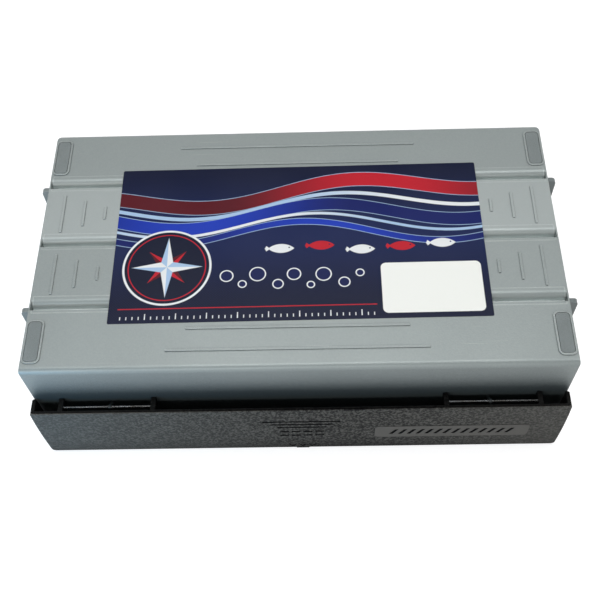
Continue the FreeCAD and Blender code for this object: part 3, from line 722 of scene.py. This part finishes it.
def materialFor(name):
    if name in materialOf:
        return materialOf[name]
    return next(material for start, material in materialOf.items()
                if start.endswith("_") and name.startswith(start))


def paintNodes():
    for name, node in nodes.items():
        node.data.materials.clear()
        node.data.materials.append(materialFor(name))


paintNodes()
print("Parts painted")


# Studio: pale floor, soft lamps, and a camera that stands where the photograph's did

floorLook = {"size": 8.0, "level": -0.0002, "color": rgb(172, 172, 172), "roughness": 0.9, "glow": 0.8}

skyLook = {"color": rgb(240, 243, 246), "strength": 0.2, "horizonStrength": 1.0, "horizonTop": 0.55,
           "horizonBlur": 0.15}

lampLook = (
    {"name": "overhead", "place": (0.0, 0.16, 1.5), "aim": (0.0, 0.02, 0.08), "size": (1.2, 0.8),
     "power": 15.0, "color": (1.0, 1.0, 1.0)},
    {"name": "leftWindow", "place": (-0.28, -0.28, 0.12), "aim": (-0.13, -0.1, 0.08),
     "size": (0.12, 0.12), "power": 0.22, "color": (0.12, 0.57, 1.0)},
    {"name": "frontStrip", "place": (-0.3, -1.15, 0.8), "aim": (0.0, -0.05, 0.08), "size": (1.2, 0.12),
     "power": 5.2, "color": (1.0, 0.98, 0.96)},
    {"name": "rightPanel", "place": (1.2, 0.2, 0.6), "aim": (0.05, 0.0, 0.08), "size": (0.4, 0.7),
     "power": 0.8, "color": (1.0, 0.98, 0.94)},
)

cameraLook = {"place": (0.01606, -0.35985, 0.61505), "turn": (31.1854, 1.6884, -0.1776), "lens": 55.86,
              "sensorWidth": 36.0, "nearest": 0.01}

white = (1.0, 1.0, 1.0, 1.0)


def seenDirectly(tree):
    # 1 where the camera, a reflection or glass looks at the surface
    path = tree.nodes.new("ShaderNodeLightPath").outputs
    seen = calc(tree, "MAXIMUM", path["Is Camera Ray"], path["Is Glossy Ray"])
    return calc(tree, "MAXIMUM", seen, path["Is Transmission Ray"])


def makeFloor():
    bpy.ops.object.select_all(action="DESELECT")
    bpy.ops.mesh.primitive_plane_add(size=floorLook["size"], location=(0.0, 0.0, floorLook["level"]))
    floor = bpy.context.object
    floor.name = "studioFloor"
    material, tree, shader = newMaterial("floorPaint")
    shader.inputs["Base Color"].default_value = floorLook["color"]
    shader.inputs["Roughness"].default_value = floorLook["roughness"]
    shader.inputs["Emission Color"].default_value = white
    glow = calc(tree, "MULTIPLY", seenDirectly(tree), floorLook["glow"])
    tree.links.new(glow, shader.inputs["Emission Strength"])
    floor.data.materials.append(material)


def makeWorld():
    # The camera sees white all round; reflections see white near the horizon and a dimmer ceiling
    world = bpy.data.worlds.new("studioWorld")
    bpy.context.scene.world = world
    world.use_nodes = True
    tree = world.node_tree
    background = tree.nodes["Background"]
    direction = tree.nodes.new("ShaderNodeTexCoord").outputs["Generated"]
    top, blur = skyLook["horizonTop"], skyLook["horizonBlur"]
    low = remap(tree, splitPlace(tree, direction)[2], top - blur, top + blur, 1.0, 0.0)
    share = calc(tree, "MULTIPLY", seenDirectly(tree), low)
    share = calc(tree, "MAXIMUM", share, tree.nodes.new("ShaderNodeLightPath").outputs["Is Camera Ray"])
    tree.links.new(blendColor(tree, share, skyLook["color"], white), background.inputs["Color"])
    strength = remap(tree, share, 0.0, 1.0, skyLook["strength"], skyLook["horizonStrength"])
    tree.links.new(strength, background.inputs["Strength"])


def addToScene(name, data, place, turn):
    holder = bpy.data.objects.new(name, data)
    bpy.context.scene.collection.objects.link(holder)
    holder.location = place
    holder.rotation_euler = turn
    return holder


def makeLamps():
    for lamp in lampLook:
        data = bpy.data.lights.new(lamp["name"], "AREA")
        data.shape = "RECTANGLE"
        data.size, data.size_y = lamp["size"]
        data.energy = lamp["power"]
        data.color = lamp["color"]
        toward = Vector(lamp["aim"]) - Vector(lamp["place"])
        addToScene(lamp["name"], data, lamp["place"], toward.to_track_quat("-Z", "Y").to_euler())


def makeCamera():
    data = bpy.data.cameras.new("photoCamera")
    data.lens = cameraLook["lens"]
    data.sensor_width = cameraLook["sensorWidth"]
    data.clip_start = cameraLook["nearest"]
    turn = [math.radians(angle) for angle in cameraLook["turn"]]
    bpy.context.scene.camera = addToScene("photoCamera", data, cameraLook["place"], turn)


makeFloor()
makeWorld()
makeLamps()
makeCamera()
bpy.context.scene.view_settings.view_transform = "Standard"
print("Studio ready")
